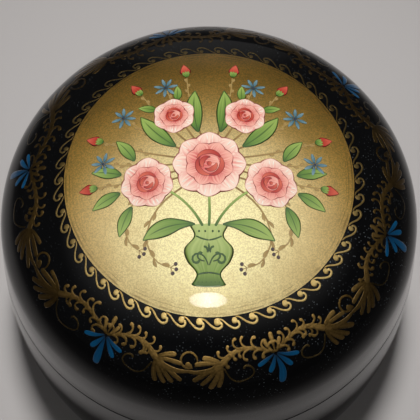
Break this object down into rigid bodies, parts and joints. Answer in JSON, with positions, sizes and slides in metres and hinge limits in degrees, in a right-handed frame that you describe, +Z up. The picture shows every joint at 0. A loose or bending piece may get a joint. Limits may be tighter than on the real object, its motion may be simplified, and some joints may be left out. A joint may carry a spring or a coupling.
{
  "type": "lacquer box",
  "caption": "Round black lacquer box with a domed lift-off lid, a gold-ground medallion, a wave border and a painted garland of gold leaves and blue flowers.",
  "frame": {"origin": "centre of the foot, on the surface that the box stands on", "axes": "+Z up along the box's axis, the way the lid lifts off; the medallion's picture is upright when seen from -Y"},
  "size_m": [0.081, 0.081, 0.0584],
  "materials": {
    "black_lacquer": "gloss",
    "red_lacquer": "gloss",
    "gold_ground": "gloss",
    "gold_paint": "gloss",
    "blue_paint": "gloss",
    "brown_paint": "gloss",
    "green_paint": "gloss",
    "pink_paint": "gloss",
    "red_paint": "gloss",
    "cornflower_paint": "gloss"
  },
  "bodies": {
    "base": {"base_wall": "black_lacquer", "base_floor": "red_lacquer", "collar": "red_lacquer"},
    "lid": {"lid_shell": "black_lacquer", "gold_ground": "gold_ground", "wave_border": "gold_paint", "garland_gold": "gold_paint", "garland_flowers": "blue_paint", "bouquet_sprigs": "brown_paint", "bouquet_leaves": "green_paint", "bouquet_roses": "pink_paint", "bouquet_hearts": "red_paint", "bouquet_cornflowers": "cornflower_paint"}
  },
  "joints": [
    {"name": "lid_lift", "type": "slide", "parent": "base", "child": "lid", "axis": [0, 0, 1], "range_m": [0, 0.045]}
  ]
}
